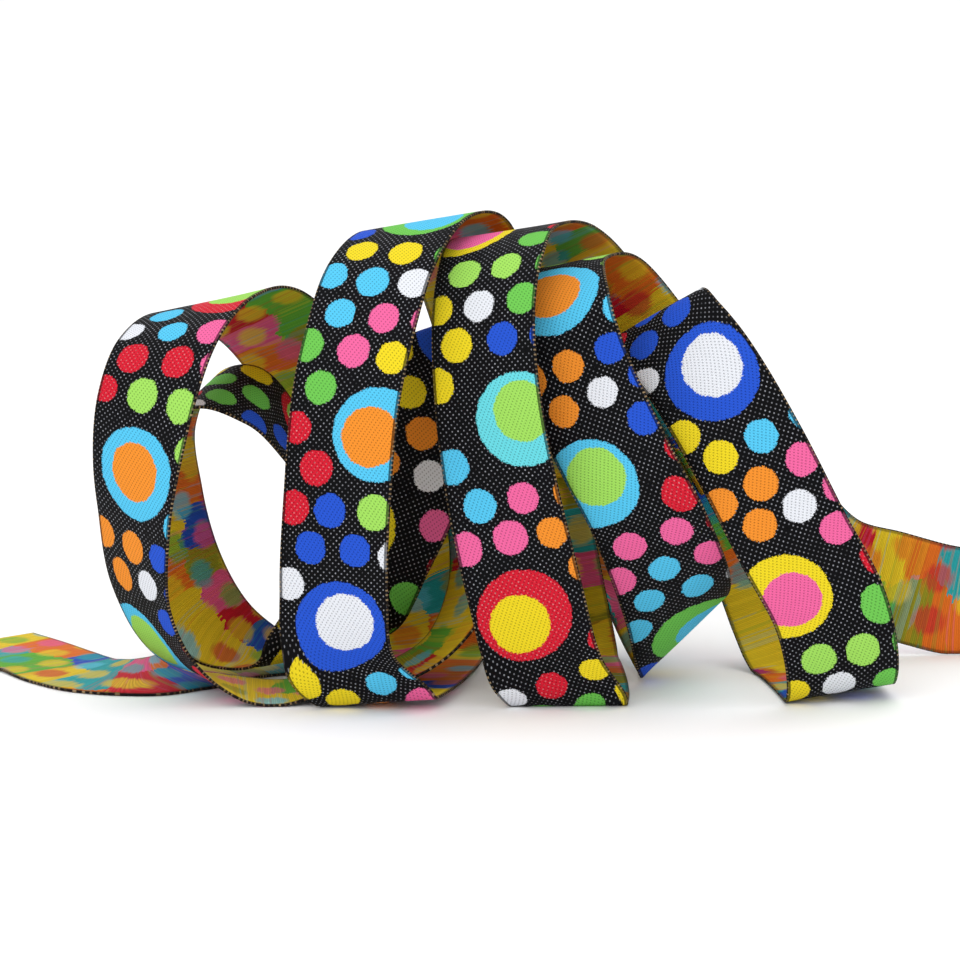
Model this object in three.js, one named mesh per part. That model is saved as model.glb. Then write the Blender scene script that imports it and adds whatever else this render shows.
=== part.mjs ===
// A length of woven ribbon, coiled loosely on edge and standing on a flat surface.
// Millimetres, +Z up, +X along the row of coils, -Y towards the front.
// The ribbon is one strip: a centre line, with a straight line across it at every place.
import * as THREE from 'three';

// Sizes of the ribbon itself
const RIBBON_WIDTH = 22;
const THICKNESS = 1.0;

// How finely the strip is cut into facets
const STEP_ALONG = 2.8;
const FINE_STEPS_PER_ROW = 60;
const CELLS_ACROSS = 2;
const SMALLEST_SKEW = 0.55;

// Shift that puts the middle of the finished part over the origin
const SHIFT_X = -0.4;
const SHIFT_Y = -23;

// Columns of every table, in mm and degrees:
// x, y, z  middle of the ribbon (z above the surface)
// swing    plan angle of the line across the ribbon, from +X towards +Y
// rise     slope of that line above the horizontal
const COLUMNS = ['x', 'y', 'z', 'swing', 'rise'];

const LEFT_TAIL = [
  [-102.2, 53.9, 0.9, 36, 1],
  [-95, 45, 0.9, 36, 1],
  [-87.5, 35, 0.8, 40, 1],
  [-81, 25.5, 0.8, 50, 2],
  [-74.5, 19.5, 1.2, 68, 4],
  [-66.5, 17.8, 1.6, 88, 6],
  [-58.5, 23, 1.3, 108, 4],
  [-50.5, 31, 0.7, 114, 1],
  [-41.5, 35.8, 0.5, 104, 0],
  [-30, 37.8, 0.5, 93, 0],
];

const SMALL_RING = [
  [-21.6, 38, 5, 92, 0],
  [-21.8, 38, 14.5, 92, 0],
  [-27.5, 36.8, 29, 90, 5],
  [-37, 33, 46.5, 84, 15],
  [-45, 29.5, 56, 84, 20],
  [-54, 28, 57.5, 80, 9],
  [-62, 27, 49, 65, 5],
  [-62.5, 27, 36, 55, 3],
  [-59.5, 27, 22, 50, 0],
  [-54.5, 27.5, 11.5, 47, 0],
  [-49, 28, 5.8, 46, 0],
];

const INNER_LOOP = [
  [-42.5, 27.5, 3, 45, 0],
  [-36.5, 25.3, 3.4, 41, 0],
  [-31.5, 22.8, 7, 26, 0],
  [-26.5, 22, 13.5, 8, -4],
  [-21.5, 21, 24, -10, -6],
  [-16, 22.5, 35.5, -2, -4],
  [-11.5, 24, 48, 0, 3],
  [-7.5, 25.5, 61, 5, 10],
  [-4.5, 31, 71, 8, 17],
  [-3, 38.5, 66, 5, 10],
  [-1, 39.5, 54, -5, 0],
  [1, 36, 42, -25, 0],
  [1, 29, 30, -50, 0],
  [-2, 20.5, 18, -70, 0],
  [-9, 13.5, 8, -82, 0],
  [-20, 10.5, 2.8, -88, 0],
];

const LOOP_1 = [
  [-31, 9.5, 2, -90, 0],
  [-39, 8.5, 0.5, -88, 0],
  [-46.5, 8, 1.2, -84, 0],
  [-53.3, 7.2, 3.6, -79, 6],
  [-59, 6, 7.5, -73, 14],
  [-63.3, 4.8, 13.8, -67, 17],
  [-66.2, 3, 23, -57, 8],
  [-66.7, -0.5, 37, -48, 2],
  [-66, -2.5, 48, -38, 0],
  [-63.7, -3, 61, -29, 0],
  [-60, 3, 71, -24, 5],
  [-53, 19, 76, -20, 13],
  [-44, 32, 72, -25, 28],
  [-36.5, 42, 62, -20, 30],
  [-28, 48, 45, -5, 28],
  [-19, 51, 25, 0, 22],
  [-12, 51, 9, -6, 8],
];

const LOOP_2 = [
  [-10, 45, 0.5, -10, 0],
  [-19.8, -4.5, 1.5, -8, 5],
  [-27, -8.5, 11, -16, 2],
  [-28, -10, 24, -20, 1],
  [-27.2, -9.5, 43.5, -22, 2],
  [-25.6, -7, 61, -20, 3],
  [-22.8, -2.5, 74, -18, 4],
  [-18.8, 6, 85.5, -16, 6],
  [-12.3, 20, 91.5, -15, 10],
  [-5, 33, 88, -12, 16],
  [-0.5, 41, 76, -8, 20],
  [5.5, 45.5, 55, 0, 20],
  [11, 47, 30, 0, 18],
  [15, 46, 10, 0, 8],
];

const LOOP_3 = [
  [17, 41, 0.5, 0, 0],
  [17.1, -2, 0.5, 2, 0],
  [12.3, -6, 9.5, -5, 0],
  [8.5, -8, 24, -5, 0],
  [4.1, -8, 44, -15, 0],
  [1.4, -7, 61.5, -25, 0],
  [0.6, -3, 76, -30, 2],
  [2, 5, 86, -30, 5],
  [5.2, 18, 90, -24, 10],
  [13, 31, 85.5, -15, 24],
  [22, 44.5, 74, -8, 31],
  [31, 51.5, 56, 0, 30],
  [35.5, 54, 33, 5, 34],
  [34.7, 47, 17.5, 2, 46],
];

const LOOP_4 = [
  [40, 20, 8.9, -5, 46],
  [38.5, 4, 20, -12, 35],
  [31.8, -7, 38, -18, 29],
  [25.6, -8, 50, -18, 25.5],
  [18.8, -4.5, 64, -16, 20],
  [14.4, -0.5, 76.5, -14, 14],
  [14, 14, 83.5, -12, 12],
  [22, 27, 79, -10, 25],
  [33, 34, 65, -5, 30],
  [44, 37, 48, 0, 30],
  [55, 36, 28, 0, 28],
  [62, 33, 10, 0, 12],
];

const LOOP_5 = [
  [66, 28, 0.5, 5, 0],
  [70.3, 1, 2.6, 8, 8],
  [70, -3, 9.5, 4, 14],
  [67.3, -5, 20, 0, 22],
  [59.8, -6, 34.2, 0, 28],
  [51.4, -6, 50.4, 0, 28],
  [42, -3, 66, -8, 32],
  [36, 4, 72.5, -20, 32],
  [33.5, 13, 74, -33, 30],
  [38.5, 23, 67, -27, 38],
  [48, 33, 51, -10, 46],
];

const RIGHT_TAIL = [
  [60, 40, 31, -4, 57],
  [71.5, 43.8, 18.6, 0, 63],
  [84, 44.5, 14.6, 0, 69],
  [97, 44.5, 11.4, 0, 74],
  [109.8, 45, 11.2, 0, 79],
];

const SECTIONS = [
  LEFT_TAIL, SMALL_RING, INNER_LOOP, LOOP_1, LOOP_2, LOOP_3, LOOP_4, LOOP_5, RIGHT_TAIL,
];

// Rows of all sections in one list, each row as an object with named columns
function ribbonRows() {
  return SECTIONS.flat().map((row) =>
    Object.fromEntries(COLUMNS.map((name, column) => [name, row[column]])));
}

// Fine samples of the centre line and of the two angles, smooth through every row
function fineSamples(rows) {
  const centres = new THREE.CatmullRomCurve3(
    rows.map((row) => new THREE.Vector3(row.x, row.y, row.z)));
  const angles = new THREE.CatmullRomCurve3(
    rows.map((row) => new THREE.Vector3(row.swing, row.rise, 0)));
  const count = (rows.length - 1) * FINE_STEPS_PER_ROW;
  const samples = [];
  for (let i = 0; i <= count; i += 1) {
    const angle = angles.getPoint(i / count);
    const swing = THREE.MathUtils.degToRad(angle.x);
    const rise = THREE.MathUtils.degToRad(angle.y);
    const across = new THREE.Vector3(
      Math.cos(rise) * Math.cos(swing),
      Math.cos(rise) * Math.sin(swing),
      Math.sin(rise));
    samples.push({ centre: centres.getPoint(i / count), across });
  }
  return samples;
}

// Stations at even spacing along the centre line, with the direction of travel at each
function evenStations(samples) {
  const reach = [0];
  for (let i = 1; i < samples.length; i += 1) {
    reach.push(reach[i - 1] + samples[i].centre.distanceTo(samples[i - 1].centre));
  }
  const length = reach[reach.length - 1];
  const count = Math.round(length / STEP_ALONG);
  const stations = [];
  let i = 1;
  for (let k = 0; k <= count; k += 1) {
    const goal = (length * k) / count;
    while (i < reach.length - 1 && reach[i] < goal) i += 1;
    const share = (goal - reach[i - 1]) / (reach[i] - reach[i - 1]);
    const centre = samples[i - 1].centre.clone().lerp(samples[i].centre, share);
    const across = samples[i - 1].across.clone().lerp(samples[i].across, share).normalize();
    const travel = samples[i].centre.clone().sub(samples[i - 1].centre).normalize();
    stations.push({ centre, across, travel });
  }
  return stations;
}

// Points of the middle surface: one row of points for every station.
// A line that runs askew across the ribbon is longer, so that the width stays true.
function middleGrid(stations) {
  return stations.map(({ centre, across, travel }) => {
    const skew = Math.max(across.clone().cross(travel).length(), SMALLEST_SKEW);
    const half = RIBBON_WIDTH / 2 / skew;
    const lift = Math.max(0, THICKNESS / 2 + half * Math.abs(across.z) - centre.z);
    const points = [];
    for (let c = 0; c <= CELLS_ACROSS; c += 1) {
      const offset = half * ((2 * c) / CELLS_ACROSS - 1);
      const point = centre.clone().addScaledVector(across, offset);
      point.z += lift;
      points.push(point);
    }
    return points;
  });
}

// Unit normal of the outer face at one point of the grid
function outward(grid, k, c) {
  const before = grid[Math.max(k - 1, 0)][c];
  const after = grid[Math.min(k + 1, grid.length - 1)][c];
  const along = after.clone().sub(before);
  const across = grid[k][CELLS_ACROSS].clone().sub(grid[k][0]);
  return across.cross(along).normalize();
}

// The closed strip: outer face, inner face, two selvedges and two cut ends
function ribbonGeometry() {
  const grid = middleGrid(evenStations(fineSamples(ribbonRows())));
  const perRow = CELLS_ACROSS + 1;
  const positions = [];
  for (const side of [0.5, -0.5]) {
    for (let k = 0; k < grid.length; k += 1) {
      for (let c = 0; c < perRow; c += 1) {
        const normal = outward(grid, k, c);
        const point = grid[k][c].clone().addScaledVector(normal, side * THICKNESS);
        positions.push(point.x + SHIFT_X, point.y + SHIFT_Y, Math.max(point.z, 0));
      }
    }
  }
  const under = grid.length * perRow;
  const outer = (k, c) => k * perRow + c;
  const inner = (k, c) => under + k * perRow + c;
  const faces = [];
  const quad = (a, b, c, d) => faces.push(a, b, c, a, c, d);
  for (let k = 0; k < grid.length - 1; k += 1) {
    for (let c = 0; c < CELLS_ACROSS; c += 1) {
      quad(outer(k, c), outer(k, c + 1), outer(k + 1, c + 1), outer(k + 1, c));
      quad(inner(k, c), inner(k + 1, c), inner(k + 1, c + 1), inner(k, c + 1));
    }
    quad(outer(k, 0), outer(k + 1, 0), inner(k + 1, 0), inner(k, 0));
    quad(outer(k, CELLS_ACROSS), inner(k, CELLS_ACROSS),
      inner(k + 1, CELLS_ACROSS), outer(k + 1, CELLS_ACROSS));
  }
  const last = grid.length - 1;
  for (let c = 0; c < CELLS_ACROSS; c += 1) {
    quad(outer(0, c), inner(0, c), inner(0, c + 1), outer(0, c + 1));
    quad(outer(last, c), outer(last, c + 1), inner(last, c + 1), inner(last, c));
  }
  const geometry = new THREE.BufferGeometry();
  geometry.setAttribute('position', new THREE.Float32BufferAttribute(positions, 3));
  geometry.setIndex(faces);
  geometry.computeVertexNormals();
  return geometry;
}

const cloth = new THREE.MeshStandardMaterial({ color: 0x14161c, roughness: 0.8 });
const ribbon = new THREE.Mesh(ribbonGeometry(), cloth);
ribbon.name = 'ribbon';

const part = new THREE.Group();
part.name = 'ribbon_coil';
part.add(ribbon);

export default part;
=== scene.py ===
# %% [markdown]
# # A coiled jacquard ribbon
#
# The ribbon is one strip, 22 mm wide and about 1.6 m long, that stands on edge in loose coils with
# a tail on each side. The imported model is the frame: this script keeps its place and size, and lays
# a finer strip of cloth over it, with a woven face, a back of loose weft and a stitched selvedge.
# Lengths in the tables are millimetres; Blender's own units are metres.

import bpy
import numpy as np
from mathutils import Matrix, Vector


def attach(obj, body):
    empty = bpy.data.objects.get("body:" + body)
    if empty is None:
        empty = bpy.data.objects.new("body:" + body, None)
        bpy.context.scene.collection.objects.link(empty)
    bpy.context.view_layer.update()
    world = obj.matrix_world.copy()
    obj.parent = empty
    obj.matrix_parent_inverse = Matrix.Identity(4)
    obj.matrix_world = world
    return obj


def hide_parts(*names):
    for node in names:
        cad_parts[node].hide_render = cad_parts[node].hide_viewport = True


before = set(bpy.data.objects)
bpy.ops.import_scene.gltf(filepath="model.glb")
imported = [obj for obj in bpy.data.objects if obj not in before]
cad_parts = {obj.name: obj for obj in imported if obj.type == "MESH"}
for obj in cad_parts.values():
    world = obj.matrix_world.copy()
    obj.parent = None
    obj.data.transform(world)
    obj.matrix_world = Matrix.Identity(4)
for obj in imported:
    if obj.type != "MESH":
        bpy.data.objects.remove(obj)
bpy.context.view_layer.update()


# %% [markdown]
# ## The path of the ribbon
#
# Every row of a table is one place along the ribbon: its middle, and the direction of the straight
# line that runs across the ribbon there. Swing is that line's angle in plan, from +X towards +Y.
# Rise is its slope. The strip follows the rows smoothly from the left tail to the right one.

# %% The tables: x, y, z in mm, swing and rise in degrees
LEFT_TAIL = [
    [-102.2, 53.9, 0.9, 36, 1],
    [-95, 45, 0.9, 36, 1],
    [-87.5, 35, 0.8, 40, 1],
    [-81, 25.5, 0.8, 50, 2],
    [-74.5, 19.5, 1.2, 68, 4],
    [-66.5, 17.8, 1.6, 88, 6],
    [-58.5, 23, 1.3, 108, 4],
    [-50.5, 31, 0.7, 114, 1],
    [-41.5, 35.8, 0.5, 104, 0],
    [-30, 37.8, 0.5, 93, 0],
]
SMALL_RING = [
    [-21.6, 38, 5, 92, 0],
    [-21.8, 38, 14.5, 92, 0],
    [-27.5, 36.8, 29, 90, 5],
    [-37, 33, 46.5, 84, 15],
    [-45, 29.5, 56, 84, 20],
    [-54, 28, 57.5, 80, 9],
    [-62, 27, 49, 65, 5],
    [-62.5, 27, 36, 55, 3],
    [-59.5, 27, 22, 50, 0],
    [-54.5, 27.5, 11.5, 47, 0],
    [-49, 28, 5.8, 46, 0],
]
INNER_LOOP = [
    [-42.5, 27.5, 3, 45, 0],
    [-36.5, 25.3, 3.4, 41, 0],
    [-31.5, 22.8, 7, 26, 0],
    [-26.5, 22, 13.5, 8, -4],
    [-21.5, 21, 24, -10, -6],
    [-16, 22.5, 35.5, -2, -4],
    [-11.5, 24, 48, 0, 3],
    [-7.5, 25.5, 61, 5, 10],
    [-4.5, 31, 71, 8, 17],
    [-3, 38.5, 66, 5, 10],
    [-1, 39.5, 54, -5, 0],
    [1, 36, 42, -25, 0],
    [1, 29, 30, -50, 0],
    [-2, 20.5, 18, -70, 0],
    [-9, 13.5, 8, -82, 0],
    [-20, 10.5, 2.8, -88, 0],
]
LOOP_1 = [
    [-31, 9.5, 2, -90, 0],
    [-39, 8.5, 0.5, -88, 0],
    [-46.5, 8, 1.2, -84, 0],
    [-53.3, 7.2, 3.6, -79, 6],
    [-59, 6, 7.5, -73, 14],
    [-63.3, 4.8, 13.8, -67, 17],
    [-66.2, 3, 23, -57, 8],
    [-66.7, -0.5, 37, -48, 2],
    [-66, -2.5, 48, -38, 0],
    [-63.7, -3, 61, -29, 0],
    [-60, 3, 71, -24, 5],
    [-53, 19, 76, -20, 13],
    [-44, 32, 72, -25, 28],
    [-36.5, 42, 62, -20, 30],
    [-28, 48, 45, -5, 28],
    [-19, 51, 25, 0, 22],
    [-12, 51, 9, -6, 8],
]
LOOP_2 = [
    [-10, 45, 0.5, -10, 0],
    [-19.8, -4.5, 1.5, -8, 5],
    [-27, -8.5, 11, -16, 2],
    [-28, -10, 24, -20, 1],
    [-27.2, -9.5, 43.5, -22, 2],
    [-25.6, -7, 61, -20, 3],
    [-22.8, -2.5, 74, -18, 4],
    [-18.8, 6, 85.5, -16, 6],
    [-12.3, 20, 91.5, -15, 10],
    [-5, 33, 88, -12, 16],
    [-0.5, 41, 76, -8, 20],
    [5.5, 45.5, 55, 0, 20],
    [11, 47, 30, 0, 18],
    [15, 46, 10, 0, 8],
]
LOOP_3 = [
    [17, 41, 0.5, 0, 0],
    [17.1, -2, 0.5, 2, 0],
    [12.3, -6, 9.5, -5, 0],
    [8.5, -8, 24, -5, 0],
    [4.1, -8, 44, -15, 0],
    [1.4, -7, 61.5, -25, 0],
    [0.6, -3, 76, -30, 2],
    [2, 5, 86, -30, 5],
    [5.2, 18, 90, -24, 10],
    [13, 31, 85.5, -15, 24],
    [22, 44.5, 74, -8, 31],
    [31, 51.5, 56, 0, 30],
    [35.5, 54, 33, 5, 34],
    [34.7, 47, 17.5, 2, 46],
]
LOOP_4 = [
    [40, 20, 8.9, -5, 46],
    [38.5, 4, 20, -12, 35],
    [31.8, -7, 38, -18, 29],
    [25.6, -8, 50, -18, 25.5],
    [18.8, -4.5, 64, -16, 20],
    [14.4, -0.5, 76.5, -14, 14],
    [14, 14, 83.5, -12, 12],
    [22, 27, 79, -10, 25],
    [33, 34, 65, -5, 30],
    [44, 37, 48, 0, 30],
    [55, 36, 28, 0, 28],
    [62, 33, 10, 0, 12],
]
LOOP_5 = [
    [66, 28, 0.5, 5, 0],
    [70.3, 1, 2.6, 8, 8],
    [70, -3, 9.5, 4, 14],
    [67.3, -5, 20, 0, 22],
    [59.8, -6, 34.2, 0, 28],
    [51.4, -6, 50.4, 0, 28],
    [42, -3, 66, -8, 32],
    [36, 4, 72.5, -20, 32],
    [33.5, 13, 74, -33, 30],
    [38.5, 23, 67, -27, 38],
    [48, 33, 51, -10, 46],
]
RIGHT_TAIL = [
    [60, 40, 31, -4, 57],
    [71.5, 43.8, 18.6, 0, 63],
    [84, 44.5, 14.6, 0, 69],
    [97, 44.5, 11.4, 0, 74],
    [109.8, 45, 11.2, 0, 79],
]
SHIFT_MM = (-0.4, -23, 0.0)
SECTIONS = (LEFT_TAIL, SMALL_RING, INNER_LOOP, LOOP_1, LOOP_2, LOOP_3, LOOP_4, LOOP_5, RIGHT_TAIL)
ROWS = np.array([row for section in SECTIONS for row in section], float)
print("rows:", len(ROWS))

# %% [markdown]
# ## A smooth curve through the rows
#
# Between two rows the curve is a cubic whose end slopes come from the neighbouring rows, weighted by
# the square root of the distances between them (a centripetal Catmull-Rom curve). The middle line
# and the two angles are curves of this kind, both read at the same share of each interval.

# %% Curves and even stations
FINE = 60
RIBBON_WIDTH = 22.0
CAD_THICKNESS = 1.0
SMALLEST_SKEW = 0.55


def smooth_through(points, fine):
    """Catmull-Rom curve: slope at a row = ((b-a)/s - (c-a)/(s+t) + (c-b)/t) * t, with s and t the
    square roots of the two neighbouring distances; a cubic joins each pair of rows."""
    ends = np.vstack([2 * points[0] - points[1], points, 2 * points[-1] - points[-2]])
    gap = np.maximum(np.sqrt(np.linalg.norm(np.diff(ends, axis=0), axis=1)), 1e-4)
    share = np.arange(fine)[None, :, None] / fine
    a, b, c, d = ends[:-3], ends[1:-2], ends[2:-1], ends[3:]
    s, t, w = gap[:-2, None], gap[1:-1, None], gap[2:, None]
    start = ((b - a) / s - (c - a) / (s + t) + (c - b) / t) * t
    stop = ((c - b) / t - (d - b) / (t + w) + (d - c) / w) * t
    b, c, start, stop = (v[:, None, :] for v in (b, c, start, stop))
    curve = b + start * share + (3 * (c - b) - 2 * start - stop) * share**2
    curve = curve + (2 * (b - c) + start + stop) * share**3
    return np.vstack([curve.reshape(-1, points.shape[1]), points[-1:]])


def lines_across(angles):
    """Unit vectors (cos rise cos swing, cos rise sin swing, sin rise)."""
    swing, rise = np.radians(angles[:, 0]), np.radians(angles[:, 1])
    return np.stack([np.cos(rise) * np.cos(swing), np.cos(rise) * np.sin(swing), np.sin(rise)], 1)


def even_stations(step):
    """Middle, line across, travel direction and distance along, every `step` mm of the middle line:
    distance = running sum of the short chords, and each value is read off at even distances."""
    middle = smooth_through(ROWS[:, :3], FINE)
    across = lines_across(smooth_through(np.column_stack([ROWS[:, 3:], 0 * ROWS[:, 3]]), FINE))
    reach = np.concatenate([[0.0], np.cumsum(np.linalg.norm(np.diff(middle, axis=0), axis=1))])
    goal = np.linspace(0, reach[-1], int(round(reach[-1] / step)) + 1)
    pick = lambda values: np.stack([np.interp(goal, reach, values[:, i]) for i in range(3)], 1)
    unit = lambda v: v / np.linalg.norm(v, axis=1, keepdims=True)
    mid = pick(middle)
    return mid, unit(pick(across)), unit(np.gradient(mid, axis=0)), goal


STEP = 1.1
mid, across, travel, along = even_stations(STEP)

# %% [markdown]
# ## The strip of cloth
#
# Where the line across runs askew to the direction of travel it is made longer, by one over the sine
# of the angle between them, so that the width stays true. The cloth is 0.55 mm thick. Its edges are
# rounded, and it bows a little between the selvedges, as woven ribbon does when it is bent.

# %% Build the mesh
THICKNESS = 0.55
CELLS = 14
CUP = 0.12
CUP_FROM, CUP_RISE = 1.5, 6.0
SETTLE = 1.5
EDGE_OUT = 0.35
FLOOR_MID = CAD_THICKNESS / 2


def strip_grid(cells):
    """Points u, v of the middle surface. Half length = 11 / sin(angle between line and travel).
    Also the true distance across and along in mm: across = share * 22, along = s + offset * cos."""
    skew = np.maximum(np.linalg.norm(np.cross(across, travel), axis=1), SMALLEST_SKEW)
    half = RIBBON_WIDTH / 2 / skew
    lift = np.maximum(0, FLOOR_MID + half * np.abs(across[:, 2]) - mid[:, 2])
    share = np.linspace(-1, 1, cells + 1)
    grid = mid[:, None, :] + across[:, None, :] * (half[:, None] * share[None, :])[:, :, None]
    grid[:, :, 2] += lift[:, None]
    slant = np.sum(across * travel, axis=1)
    u = np.broadcast_to((share + 1) / 2 * RIBBON_WIDTH, grid.shape[:2]).copy()
    v = along[:, None] + half[:, None] * share[None, :] * slant[:, None]
    return grid, u, v


def unit_normals(grid):
    """Cross product of the differences across and along, made one long."""
    over = np.gradient(grid, axis=1)
    down = np.gradient(grid, axis=0)
    normal = np.cross(over, down)
    return normal / np.linalg.norm(normal, axis=2, keepdims=True)


grid, U, V = strip_grid(CELLS)
normal = unit_normals(grid)
side = np.linspace(-1, 1, CELLS + 1)
# The ribbon bows outwards by CUP times (1 - side squared), with side -1 and 1 at the selvedges;
# the bow fades out near the floor
free = np.clip((grid[:, :, 2] - CUP_FROM) / CUP_RISE, 0, 1)
grid = grid + normal * (CUP * (1 - side**2))[None, :, None] * free[:, :, None]
# The cloth is thinner than the frame's strip: on the floor its outer face keeps to the floor
outer = grid + normal * (THICKNESS / 2)
inner = grid - normal * (THICKNESS / 2)
drop = np.clip(1 - (grid[:, :, 2] - FLOOR_MID) / SETTLE, 0, 1) * (CAD_THICKNESS - THICKNESS) / 2
for layer in (outer, inner):
    layer[:, :, 2] -= drop
    np.maximum(layer[:, :, 2], 0.0, out=layer[:, :, 2])
# The rounded selvedge: one more row of points at each side, about a third of a thickness out
edge_dir = grid[:, -1] - grid[:, 0]
edge_dir = edge_dir / np.linalg.norm(edge_dir, axis=1, keepdims=True)
right = (outer[:, -1] + inner[:, -1]) / 2 + edge_dir * THICKNESS * EDGE_OUT
left = (outer[:, 0] + inner[:, 0]) / 2 - edge_dir * THICKNESS * EDGE_OUT

ring = np.concatenate([outer, right[:, None], inner[:, ::-1], left[:, None]], axis=1)
ring_u = np.concatenate([U, U[:, -1:], U[:, ::-1], U[:, :1]], axis=1)
ring_v = np.concatenate([V, V[:, -1:], V[:, ::-1], V[:, :1]], axis=1)
rows, per = ring.shape[:2]
points = (ring.reshape(-1, 3) + np.array(SHIFT_MM)) / 1000

k, c = np.meshgrid(np.arange(rows - 1), np.arange(per), indexing="ij")
n = (c + 1) % per
quads = np.stack([k * per + c, k * per + n, (k + 1) * per + n, (k + 1) * per + c], -1).reshape(-1, 4)
strip = np.broadcast_to(np.arange(per), (rows - 1, per)).reshape(-1)
FACE, BACK, SELVEDGE = 0, 1, 2
kind = np.full(per, SELVEDGE)
kind[:CELLS] = FACE
kind[CELLS + 2 : 2 * CELLS + 2] = BACK
first = [list(range(per))[::-1]]
last = [[(rows - 1) * per + i for i in range(per)]]

mesh = bpy.data.meshes.new("ribbon_cloth_mesh")
mesh.from_pydata(points.tolist(), [], quads.tolist() + first + last)
mesh.polygons.foreach_set(
    "material_index", np.concatenate([kind[strip], [SELVEDGE, SELVEDGE]]).astype(np.int32)
)
mesh.polygons.foreach_set("use_smooth", np.concatenate([np.ones(len(quads), bool), [False, False]]))
uv = mesh.uv_layers.new(name="weave_mm")
flat_u, flat_v = ring_u.reshape(-1), ring_v.reshape(-1)
loops = np.empty(len(mesh.loops), np.int32)
mesh.loops.foreach_get("vertex_index", loops)
uv.data.foreach_set("uv", np.column_stack([flat_u[loops], flat_v[loops]]).reshape(-1))
mesh.update()
ribbon = bpy.data.objects.new("ribbon_cloth", mesh)
bpy.context.collection.objects.link(ribbon)
print("faces:", len(mesh.polygons), "box, mm:", np.round(np.ptp(points, axis=0) * 1000, 1))

# %% [markdown]
# ## Shader pieces
#
# The weave is worked out in millimetres from the strip's own coordinates: u across, v along.
# A short helper class keeps the node networks readable: every call makes one node.

# %% Helpers for node networks


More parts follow.
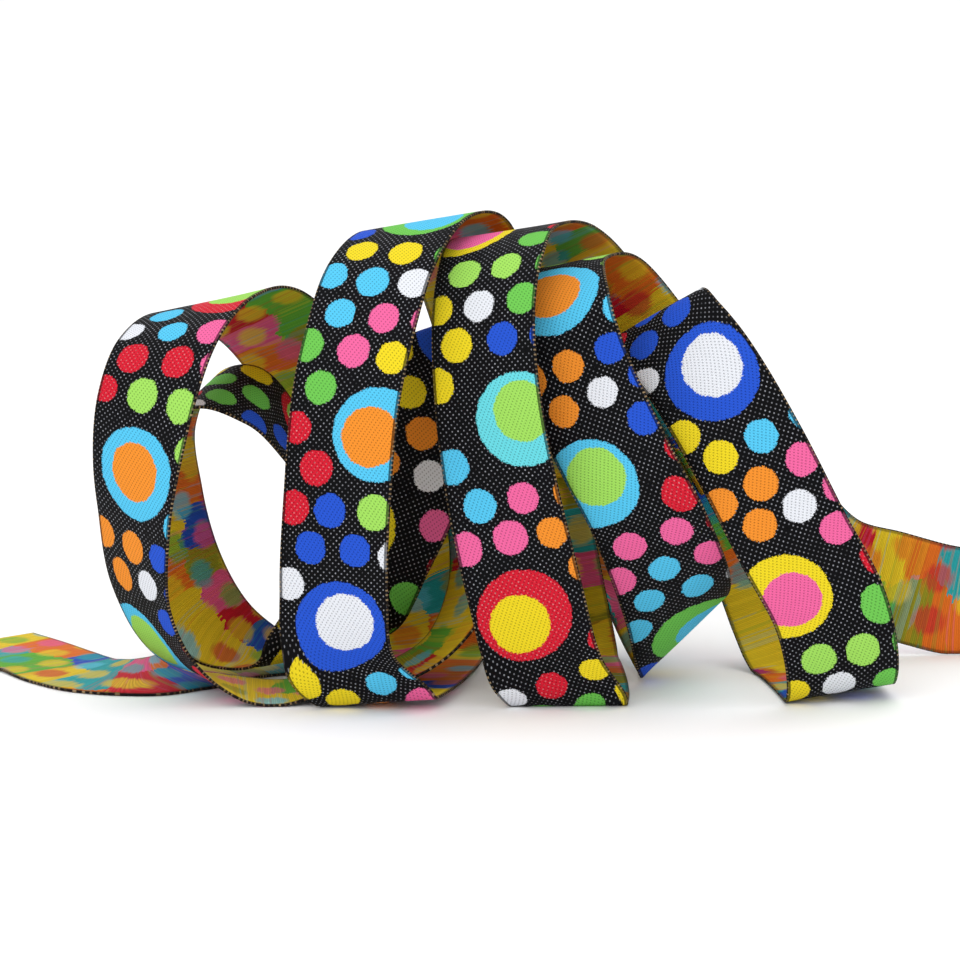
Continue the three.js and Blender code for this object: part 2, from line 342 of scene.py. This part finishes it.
class Net:
    """Makes nodes in one material; numbers given in place of sockets become constants."""

    def __init__(self, name, roughness, specular):
        self.material = bpy.data.materials.new(name)
        self.material.use_nodes = True
        self.tree = self.material.node_tree
        self.shader = self.tree.nodes["Principled BSDF"]
        self.shader.inputs["Roughness"].default_value = roughness
        self.shader.inputs["Specular IOR Level"].default_value = specular
        uv = self.tree.nodes.new("ShaderNodeUVMap")
        uv.uv_map = "weave_mm"
        parts = self.tree.nodes.new("ShaderNodeSeparateXYZ")
        self.tree.links.new(uv.outputs[0], parts.inputs[0])
        self.u, self.v = parts.outputs[0], parts.outputs[1]

    def put(self, socket, value):
        """Links a socket, or sets a constant."""
        if isinstance(value, bpy.types.NodeSocket):
            self.tree.links.new(value, socket)
        else:
            socket.default_value = value

    def math(self, operation, *values, clamp=False):
        """One math node: operation applied to the values."""
        node = self.tree.nodes.new("ShaderNodeMath")
        node.operation = operation
        node.use_clamp = clamp
        for socket, value in zip(node.inputs, values):
            self.put(socket, value)
        return node.outputs[0]

    def add(self, a, b):
        """a + b"""
        return self.math("ADD", a, b)

    def sub(self, a, b):
        """a - b"""
        return self.math("SUBTRACT", a, b)

    def mul(self, a, b):
        """a * b"""
        return self.math("MULTIPLY", a, b)

    def below(self, value, edge, soft):
        """1 where value is under edge, 0 above it, over a soft border: (edge - value) / soft + 0.5."""
        return self.math("ADD", self.math("DIVIDE", self.sub(edge, value), soft), 0.5, clamp=True)

    def split(self, colour):
        """The red and the green share of a colour."""
        node = self.tree.nodes.new("ShaderNodeSeparateColor")
        self.tree.links.new(colour, node.inputs[0])
        return node.outputs[0], node.outputs[1]

    def length(self, x, y):
        """Square root of x * x + y * y."""
        return self.math("SQRT", self.add(self.mul(x, x), self.mul(y, y)))

    def steps(self, value, size):
        """The middle of the step of that size in which the value lies."""
        return self.mul(self.add(self.math("FLOOR", self.math("DIVIDE", value, size)), 0.5), size)

    def wave(self, value, pitch, phase=0.0):
        """0.5 + 0.5 cos(2 pi (value + phase) / pitch)"""
        turn = self.math("COSINE", self.mul(self.add(value, phase), 2 * np.pi / pitch))
        return self.math("MULTIPLY_ADD", turn, 0.5, 0.5)

    def lattice(self, u, v, pitch_u, pitch_v):
        """Staggered peaks of height 1: the larger of wave(u) wave(v) and the same half a pitch on."""
        even = self.mul(self.wave(u, pitch_u), self.wave(v, pitch_v))
        odd = self.mul(self.wave(u, pitch_u, pitch_u / 2), self.wave(v, pitch_v, pitch_v / 2))
        return self.math("MAXIMUM", even, odd)

    def random_between(self, x, y, z, reach):
        """An even random number for the cell, from minus half of reach to plus half of it."""
        return self.mul(self.sub(self.speck(x, y, z), 0.5), reach)

    def mix(self, amount, a, b):
        """Colour a where amount is 0, b where it is 1."""
        node = self.tree.nodes.new("ShaderNodeMix")
        node.data_type = "RGBA"
        self.put(node.inputs[0], amount)
        self.put(node.inputs[6], a)
        self.put(node.inputs[7], b)
        return node.outputs[2]

    def blend_value(self, amount, a, b):
        """Number a where amount is 0, b where it is 1: a + amount * (b - a)."""
        return self.add(a, self.mul(amount, self.sub(b, a)))

    def ramp(self, position, colours):
        """Colours in flat bands of equal width: colour i from i / count to (i + 1) / count."""
        node = self.tree.nodes.new("ShaderNodeValToRGB")
        node.color_ramp.interpolation = "CONSTANT"
        elements = node.color_ramp.elements
        for i, colour in enumerate(colours):
            place = i / len(colours)
            element = elements[i] if i < 2 else elements.new(place)
            element.position = place
            element.color = colour
        self.put(node.inputs[0], position)
        return node.outputs[0], node.outputs[1]

    def dim(self, colour, light):
        """Colour times light, the same in red, green and blue."""
        grey = self.tree.nodes.new("ShaderNodeCombineColor")
        for socket in grey.inputs[:3]:
            self.put(socket, light)
        node = self.tree.nodes.new("ShaderNodeMix")
        node.data_type = "RGBA"
        node.blend_type = "MULTIPLY"
        node.inputs[0].default_value = 1.0
        self.put(node.inputs[6], colour)
        self.put(node.inputs[7], grey.outputs[0])
        return node.outputs[2]

    def noise(self, x, y, z=0.0):
        """Smooth noise at (x, y, z), about 0.3 to 0.7."""
        place = self.tree.nodes.new("ShaderNodeCombineXYZ")
        for socket, value in zip(place.inputs, (x, y, z)):
            self.put(socket, value)
        node = self.tree.nodes.new("ShaderNodeTexNoise")
        node.inputs["Scale"].default_value = 1.0
        node.inputs["Detail"].default_value = 2.0
        node.inputs["Roughness"].default_value = 0.5
        self.tree.links.new(place.outputs[0], node.inputs["Vector"])
        return node.outputs[0]

    def speck(self, x, y, z=0.0):
        """One even random number for every whole cell (x, y, z)."""
        place = self.tree.nodes.new("ShaderNodeCombineXYZ")
        for socket, value in zip(place.inputs, (x, y, z)):
            self.put(socket, value)
        node = self.tree.nodes.new("ShaderNodeTexWhiteNoise")
        node.noise_dimensions = "3D"
        self.tree.links.new(place.outputs[0], node.inputs["Vector"])
        return node.outputs[0]

    def finish(self, colour, height, strength, depth):
        """Colour and bump into the shader; depth is in metres."""
        self.put(self.shader.inputs["Base Color"], colour)
        bump = self.tree.nodes.new("ShaderNodeBump")
        bump.inputs["Strength"].default_value = strength
        bump.inputs["Distance"].default_value = depth
        self.put(bump.inputs["Height"], height)
        self.tree.links.new(bump.outputs[0], self.shader.inputs["Normal"])
        return self.material


def srgb(r, g, b):
    """Screen colour 0 to 255 as linear light: ((c + 0.055) / 1.055) ** 2.4 above 0.04045."""
    c = np.array([r, g, b]) / 255
    linear = np.where(c > 0.04045, ((c + 0.055) / 1.055) ** 2.4, c / 12.92)
    return (*map(float, linear), 1.0)


# %% [markdown]
# ## The chart of the face
#
# The pattern is a plain mix of dots in bright colours on black, charted for this ribbon.
# Small dots stand in staggered rows 7.6 mm apart: even rows have dots at 6, 15 and 24 mm across, odd
# rows at 1.5, 10.5 and 19.5 mm, so the outer ones are cut by the selvedge. Each letter is a colour,
# and a full stop means no dot. Large two-colour spots lie over the rows, and a dot that would touch
# a spot is left out.

# %% Chart and colours
COLOURS = {
    "y": srgb(240, 216, 36),
    "r": srgb(214, 28, 50),
    "s": srgb(86, 200, 242),
    "t": srgb(106, 218, 228),
    "n": srgb(38, 86, 210),
    "p": srgb(242, 104, 162),
    "w": srgb(232, 235, 242),
    "g": srgb(112, 200, 84),
    "l": srgb(162, 222, 96),
    "o": srgb(244, 146, 46),
    ".": (0.0, 0.0, 0.0, 0.0),
}
GROUND = srgb(5, 5, 8)
CHART = [
    "yyg", "nyr", "nyg", "srg", "ssw", "psp", "ppr", "wgr", "lgr", "lgn", "own", "oon", "yws",
    "yrs", "yrl", "rll", "rrp", "wsp", "sst", "spn", "nnp", "ngy", "ggy", "wry", "wrr", "pgr",
    "pgo", "ppo", "spo", "ssn", "syn", "yyn", "ynn", "ywg", "llg", "slg", "srr", "srp", "owp",
    "oop", "yss", "yps", "ypn", "wpn", "nnw", "rnl", "rrl", "ryl", "ggy", "gpy", "spp", "ssw",
]
# Large spots: row in the chart, mm across, ring colour, inner colour, inner shift across and along
SPOTS = [
    (2, 13.0, "g", "s", 1.8, -1.2),
    (8, 4.5, "s", "l", 1.5, 1.2),
    (13, 11.5, "s", "o", -0.4, 0.3),
    (19, 18.0, "r", "l", -0.6, 1.4),
    (25, 10.0, "r", "y", -1.2, -1.5),
    (30, 17.5, "t", "l", 0.4, 1.6),
    (36, 4.0, "y", "p", 1.0, -0.8),
    (42, 12.5, "n", "w", 0.9, 1.0),
    (47, 18.5, "s", "o", -1.4, -0.6),
]
ROW_PITCH = 7.6
COLUMN_PITCH = 9.0
EVEN_START, ODD_START = 6.0, 1.5
DOT_RADIUS, SPOT_RADIUS, INNER_RADIUS = 3.3, 9.2, 5.8
DOT_GAP = 0.5
SWAY_ACROSS, SWAY_ALONG = 1.3, 0.8
DOT_SMALLER, DOT_LARGER = 0.25, 0.2
HALF = len(CHART) // 2
REPEAT = ROW_PITCH * len(CHART)


def clear_of_spots(row, column):
    """True where the distance from the dot's centre to every spot's centre, the shorter way round
    the repeat, is more than spot radius + dot radius + gap."""
    at_u = (ODD_START if row % 2 else EVEN_START) + COLUMN_PITCH * column
    for spot_row, spot_u, *_ in SPOTS:
        along_way = (abs(row - spot_row) * ROW_PITCH) % REPEAT
        along_way = min(along_way, REPEAT - along_way)
        if np.hypot(at_u - spot_u, along_way) < SPOT_RADIUS + DOT_RADIUS + DOT_GAP:
            return False
    return True


DOTS = [
    "".join(letter if clear_of_spots(row, column) else "." for column, letter in enumerate(line))
    for row, line in enumerate(CHART)
]
print("repeat of the face, mm:", round(REPEAT, 1), "dots:", sum(c != "." for r in DOTS for c in r))

# %% [markdown]
# ## The face
#
# A dot is the set of points nearer to its centre than its radius, measured at the middle of each
# small weave step, so that its edge is stepped as in weaving. The black ground has staggered pale
# pin points, the coloured areas faint pits, and both selvedges a few pale stitches. The pits and the
# hollows between the threads are darkened in their own colour as painted shade.

# %% Face material
WEAVE_STEP = (0.24, 0.2)
EDGE_SOFT = 0.1
WOBBLE, FRAY = 0.8, 0.22
PIN_PITCH = (1.22, 1.26)
PIT_PITCH = (0.88, 0.96)
PIT_LEAN = 0.35
STITCH_PITCH = 0.9
STITCH_FROM = 0.72
BUMP_DEPTH = 0.00012
print("pins, mm apart:", PIN_PITCH, "pits:", PIT_PITCH, "stitches:", STITCH_PITCH)


def stitch_mask(net):
    """1 on a stitch: wave along v above STITCH_FROM, times an even random number for each stitch."""
    on = net.math("GREATER_THAN", net.wave(net.v, STITCH_PITCH), STITCH_FROM)
    number = net.math("ROUND", net.math("DIVIDE", net.v, STITCH_PITCH))
    return net.mul(on, net.speck(number, 6.0))


def chart_cell(net, u, v):
    """Row = floor(v / row pitch), start = the row's first dot across, column = floor((u - start) /
    column pitch + 1/2)."""
    row = net.math("FLOOR", net.math("DIVIDE", v, ROW_PITCH))
    start = net.blend_value(net.math("MODULO", row, 2.0), EVEN_START, ODD_START)
    column = net.math("DIVIDE", net.add(net.sub(u, start), COLUMN_PITCH / 2), COLUMN_PITCH)
    return row, start, net.math("FLOOR", column)


def selvedge_distance(net):
    """Distance to the nearer selvedge: the smaller of u and 22 - u."""
    return net.math("MINIMUM", net.u, net.sub(RIBBON_WIDTH, net.u))


def face_material():
    """Dot mask = (radius - distance to the dot's centre - wobble) / 0.1 + 0.5, held to 0 and 1.
    Colour = ground, pin points, small dots, large rings, inner spots and selvedge stitches, each
    laid over the one before by its own mask. Pin points show again on red, at 0.45 of their light.
    Height = threads across and along, more in the dots."""
    net = Net("ribbon_face", 0.7, 0.09)
    u = net.steps(net.u, WEAVE_STEP[0])
    v = net.steps(net.v, WEAVE_STEP[1])
    row, start, column = chart_cell(net, u, v)
    column = net.math("MINIMUM", net.math("MAXIMUM", column, 0.0), 2.0)
    sway_u = net.random_between(row, column, 1.0, SWAY_ACROSS)
    sway_v = net.random_between(row, column, 2.0, SWAY_ALONG)
    centre_u = net.add(net.add(start, net.mul(column, COLUMN_PITCH)), sway_u)
    centre_v = net.add(net.mul(net.add(row, 0.5), ROW_PITCH), sway_v)
    uneven = net.mul(net.sub(net.noise(net.mul(u, 0.55), net.mul(v, 0.55)), 0.5), WOBBLE)
    wobble = net.add(uneven, net.mul(net.mul(net.wave(u, 0.62), net.wave(v, 0.46)), FRAY))
    smallest, largest = DOT_RADIUS - DOT_SMALLER, DOT_RADIUS + DOT_LARGER
    radius = net.blend_value(net.speck(row, column, 3.0), smallest, largest)
    far = net.length(net.sub(u, centre_u), net.sub(v, centre_v))
    dot = net.below(net.add(far, wobble), radius, EDGE_SOFT)

    chart_row = net.math("MODULO", row, float(len(CHART)))
    place = net.math("DIVIDE", net.add(net.math("MODULO", row, float(HALF)), 0.5), HALF)
    later = net.math("GREATER_THAN", chart_row, HALF - 0.5)
    picks = []
    for i in range(3):
        early = net.ramp(place, [COLOURS[line[i]] for line in DOTS[:HALF]])
        late = net.ramp(place, [COLOURS[line[i]] for line in DOTS[HALF:]])
        pick = net.mix(later, early[0], late[0])
        picks.append((pick, net.blend_value(later, early[1], late[1])))
    past_first = net.math("GREATER_THAN", column, 0.5)
    past_second = net.math("GREATER_THAN", column, 1.5)
    colour = net.mix(past_second, net.mix(past_first, picks[0][0], picks[1][0]), picks[2][0])
    there = net.blend_value(past_first, picks[0][1], picks[1][1])
    there = net.blend_value(past_second, there, picks[2][1])
    dot = net.mul(dot, there)

    pin = net.sub(1.0, net.below(net.lattice(net.u, net.v, *PIN_PITCH), 0.86, 0.14))
    tone = net.noise(net.mul(net.u, 0.7), net.mul(net.v, 0.7), 2.5)
    pin_light = net.mul(pin, net.math("MULTIPLY_ADD", tone, 1.8, -0.42, clamp=True))
    result = net.mix(pin_light, GROUND, srgb(172, 174, 182))

    raised = dot
    result = net.mix(dot, result, colour)
    along_repeat = net.math("MODULO", v, REPEAT)
    for row_at, across_at, outer, inner, shift_u, shift_v in SPOTS:
        middle_v = (row_at + 0.5) * ROW_PITCH
        far = net.length(net.sub(u, across_at), net.sub(along_repeat, middle_v))
        near = net.length(
            net.sub(u, across_at + shift_u), net.sub(along_repeat, middle_v + shift_v)
        )
        ring = net.below(net.add(far, wobble), SPOT_RADIUS, EDGE_SOFT)
        result = net.mix(ring, result, COLOURS[outer])
        inside = net.below(net.sub(near, wobble), INNER_RADIUS, EDGE_SOFT)
        result = net.mix(inside, result, COLOURS[inner])
        raised = net.math("MAXIMUM", raised, ring)

    share, green = net.split(result)
    red = net.math("GREATER_THAN", net.sub(share, net.mul(green, 6.0)), 0.3)
    result = net.mix(net.mul(net.mul(pin_light, red), 0.45), result, srgb(226, 214, 216))

    slant = net.add(net.u, net.mul(net.v, PIT_LEAN))
    pit = net.sub(1.0, net.below(net.lattice(slant, net.v, *PIT_PITCH), 0.8, 0.3))
    pit = net.mul(pit, raised)
    threads = net.wave(net.v, 0.28)
    warps = net.wave(net.u, 0.3)
    # Painted shade: the colour darkens between the threads, and down to half in the pits
    shade = net.blend_value(net.mul(threads, warps), 0.84, 1.0)
    shade = net.mul(shade, net.blend_value(pit, 1.0, 0.5))
    result = net.dim(result, shade)

    edge = selvedge_distance(net)
    border = net.below(edge, 0.55, 0.1)
    result = net.mix(net.mul(border, 0.8), result, GROUND)
    stitch = net.mul(stitch_mask(net), net.below(edge, 0.2, 0.08))
    result = net.mix(net.mul(stitch, 0.6), result, srgb(190, 164, 126))

    height = net.add(net.mul(threads, 0.4), net.mul(warps, 0.3))
    height = net.add(height, net.mul(raised, 0.5))
    height = net.add(height, net.mul(pin, 0.3))
    height = net.sub(height, net.mul(pit, 0.5))
    height = net.add(height, net.mul(stitch, 0.4))
    return net.finish(result, height, 0.5, BUMP_DEPTH)


# %% [markdown]
# ## The back
#
# On the back the coloured weft threads that the face does not need float from side to side. They lie
# in soft bands across the ribbon, broken into two or three lanes. Every thread strays a little from
# its band, so that neighbouring bands are feathered into each other.

# %% Back and selvedge materials
WEFT_PITCH = 0.34
PATCH_RADIUS, PATCH_SOFT = 3.0, 1.1
FLOATS = {
    "y": srgb(232, 200, 36),
    "o": srgb(228, 112, 30),
    "r": srgb(204, 24, 44),
    "t": srgb(40, 164, 168),
    "g": srgb(98, 176, 56),
    "p": srgb(232, 92, 142),
    "n": srgb(28, 78, 190),
    "s": srgb(92, 196, 220),
    "e": srgb(150, 146, 30),
}
print("colours of the floating weft:", len(FLOATS), "threads, mm apart:", WEFT_PITCH)


def back_material():
    """Band = floor((v + stray + slow noise) / size) and lane = floor((u + stray + noise) / size),
    and an even random number of band and lane picks the colour. Round patches of a second set lie
    behind the dots of the face: patch = 0.72 * ((3 - distance to the dot's centre) / 1.1 + 0.5),
    the bracket held to 0 and 1. A third set shows in part of the threads. Brightness falls between
    the threads."""
    net = Net("ribbon_back", 0.65, 0.12)
    thread = net.math("FLOOR", net.math("DIVIDE", net.v, WEFT_PITCH))
    stray_v = net.random_between(thread, 3.0, 0.0, 0.9)
    stray_u = net.random_between(thread, 4.0, 0.0, 1.1)
    bend = net.mul(net.sub(net.noise(net.mul(net.v, 0.08), net.mul(net.u, 0.06), 4.2), 0.5), 7.0)
    drift = net.mul(net.sub(net.noise(net.mul(net.v, 0.13), net.mul(net.u, 0.05), 7.7), 0.5), 14.0)

    def bands(size_v, size_u, seed, extra, weights):
        """Colour of the band and lane at one place, picked from the weighted list of floats."""
        along_band = net.add(net.add(net.v, net.mul(stray_v, extra)), bend)
        band = net.math("FLOOR", net.math("DIVIDE", along_band, size_v))
        across_lane = net.add(net.add(net.u, net.mul(stray_u, extra)), drift)
        lane = net.math("FLOOR", net.math("DIVIDE", across_lane, size_u))
        return net.ramp(net.speck(band, lane, seed), [FLOATS[c] for c in weights])[0]

    wide = bands(7.8, 13.0, 1.0, 1.0, "yoytroegnypyteog")
    fine = bands(3.1, 14.0, 2.0, 0.7, "ygpsoryt")
    row, start, column = chart_cell(net, net.u, net.v)
    from_u = net.sub(net.u, net.add(start, net.mul(column, COLUMN_PITCH)))
    from_v = net.sub(net.v, net.mul(net.add(row, 0.5), ROW_PITCH))
    far = net.length(net.add(from_u, stray_u), net.add(from_v, net.mul(stray_v, 0.6)))
    patch = net.mul(net.below(far, PATCH_RADIUS, PATCH_SOFT), 0.72)
    behind = net.ramp(net.speck(row, column, 8.0), [FLOATS[c] for c in "yeoyptgyrs"])[0]
    result = net.mix(patch, wide, behind)
    show = net.mul(net.math("GREATER_THAN", net.speck(thread, 9.0), 0.72), 0.22)
    result = net.mix(show, result, fine)
    # Painted shade: darker between the weft threads; each thread also gets its own random tone
    painted_groove_shade = net.blend_value(net.wave(net.v, WEFT_PITCH, WEFT_PITCH / 2), 0.8, 1.0)
    light = net.mul(net.blend_value(net.speck(thread, 7.0), 0.84, 1.0), painted_groove_shade)
    result = net.dim(result, light)
    edge = selvedge_distance(net)
    border = net.below(edge, 0.5, 0.3)
    result = net.mix(net.mul(border, 0.55), result, srgb(34, 26, 24))
    height = net.add(net.wave(net.v, WEFT_PITCH, WEFT_PITCH / 2), net.mul(net.speck(thread, 5.0), 0.5))
    return net.finish(result, height, 0.5, BUMP_DEPTH)


def selvedge_material():
    """Colour = dark thread, with pale gold stitches laid over it by the stitch mask."""
    net = Net("ribbon_selvedge", 0.7, 0.08)
    colour = net.mix(stitch_mask(net), srgb(22, 18, 18), srgb(150, 126, 92))
    return net.finish(colour, net.wave(net.v, STITCH_PITCH), 0.4, 0.0001)


for material in (face_material(), back_material(), selvedge_material()):
    mesh.materials.append(material)
    print(material.name, "nodes:", len(material.node_tree.nodes))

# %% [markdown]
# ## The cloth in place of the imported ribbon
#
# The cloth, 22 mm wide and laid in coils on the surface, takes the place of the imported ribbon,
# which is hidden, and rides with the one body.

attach(ribbon, "root")
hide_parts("ribbon")

# %% [markdown]
# ## Studio
#
# A pale floor, a bright even surround and two large soft lights. The camera stands in front, ten
# degrees above the level and 0.8 m away, with a long lens, as in the photo.

# %% Floor, lights and camera
FLOOR_REACH = 3.0
FLOOR_BELOW = 0.0001
corners = [(-1, -1), (1, -1), (1, 1), (-1, 1)]
floor_mesh = bpy.data.meshes.new("floor_mesh")
floor_mesh.from_pydata([(x * FLOOR_REACH, y * FLOOR_REACH, 0) for x, y in corners], [], [(0, 1, 2, 3)])
floor = bpy.data.objects.new("floor", floor_mesh)
bpy.context.collection.objects.link(floor)
floor.location.z = -FLOOR_BELOW
pale = bpy.data.materials.new("floor_pale")
pale.use_nodes = True
pale_shader = pale.node_tree.nodes["Principled BSDF"]
pale_shader.inputs["Base Color"].default_value = (0.95, 0.95, 0.95, 1)
pale_shader.inputs["Roughness"].default_value = 0.9
pale_shader.inputs["Specular IOR Level"].default_value = 0.1
floor_mesh.materials.append(pale)


def soft_light(name, place, target, size, power):
    """A square area light at place, turned towards target."""
    data = bpy.data.lights.new(name, "AREA")
    data.shape = "SQUARE"
    data.size = size
    data.energy = power
    lamp = bpy.data.objects.new(name, data)
    lamp.location = place
    lamp.rotation_euler = (Vector(target) - Vector(place)).to_track_quat("-Z", "Y").to_euler()
    bpy.context.collection.objects.link(lamp)


LIT_POINT = (0, 0, 0.04)
soft_light("light_front", (-0.5, -1.1, 0.9), LIT_POINT, 0.9, 4.5)
soft_light("light_top", (0.3, 0.1, 1.3), LIT_POINT, 1.0, 3.5)

world = bpy.data.worlds.new("surround")
world.use_nodes = True
background = world.node_tree.nodes["Background"]
background.inputs["Color"].default_value = (1, 1, 1, 1)
background.inputs["Strength"].default_value = 1.05
scene = bpy.context.scene
scene.world = world
scene.view_settings.view_transform = "Standard"

CAMERA_DISTANCE = 0.8
CAMERA_LOWERING = np.radians(10.0)
CAMERA_LENS = 155.7
AIM_HEIGHT_MM = 44.2
aim = np.array([0.0, 0.0, AIM_HEIGHT_MM]) / 1000 + np.array(SHIFT_MM) / 1000
look = np.array([0.0, np.cos(CAMERA_LOWERING), -np.sin(CAMERA_LOWERING)])
camera_data = bpy.data.cameras.new("camera")
camera_data.lens = CAMERA_LENS
camera_data.sensor_width = 36.0
camera = bpy.data.objects.new("camera", camera_data)
camera.location = aim - CAMERA_DISTANCE * look
camera.rotation_euler = Vector(look).to_track_quat("-Z", "Y").to_euler()
bpy.context.collection.objects.link(camera)
scene.camera = camera
print("camera at, m:", [round(c, 3) for c in camera.location])
